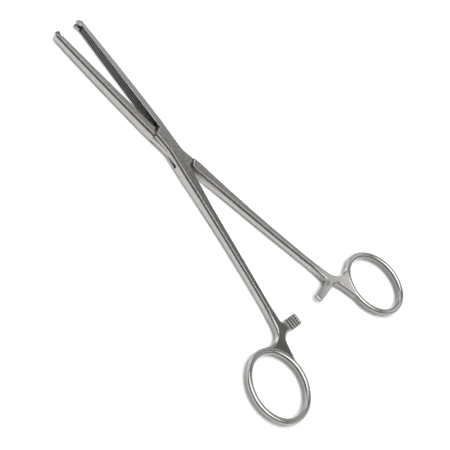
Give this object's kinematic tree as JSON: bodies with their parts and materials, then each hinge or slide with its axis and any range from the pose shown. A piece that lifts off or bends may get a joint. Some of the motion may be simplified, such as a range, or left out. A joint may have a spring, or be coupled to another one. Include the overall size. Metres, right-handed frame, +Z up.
{
  "type": "surgical forceps",
  "caption": "Straight toothed ring-handled forceps with long serrated jaws, a box lock and a ratchet, satin stainless steel, lying partly open.",
  "frame": {"origin": "pivot axis of the box lock on the lock's lower face, which rests on the table", "axes": "+Y towards the jaw tips between the open jaws, +Z up along the pivot pin, +X to the side of the jaw that belongs to the box half"},
  "size_m": [0.1109, 0.1966, 0.006],
  "materials": {
    "satin_steel": "satin brushed stainless steel, polished on the finger rings",
    "pin_steel": "satin stainless steel, ground flush with the box lock"
  },
  "bodies": {
    "box_arm": {"box_half": "satin_steel", "pivot_pin": "pin_steel"},
    "tongue_arm": {"tongue_half": "satin_steel"}
  },
  "joints": [
    {"name": "box_lock_pivot", "type": "hinge", "parent": "box_arm", "child": "tongue_arm", "pos_m": [0, 0, 0], "axis": [0, 0, 1], "range_deg": [-10, 30]}
  ]
}
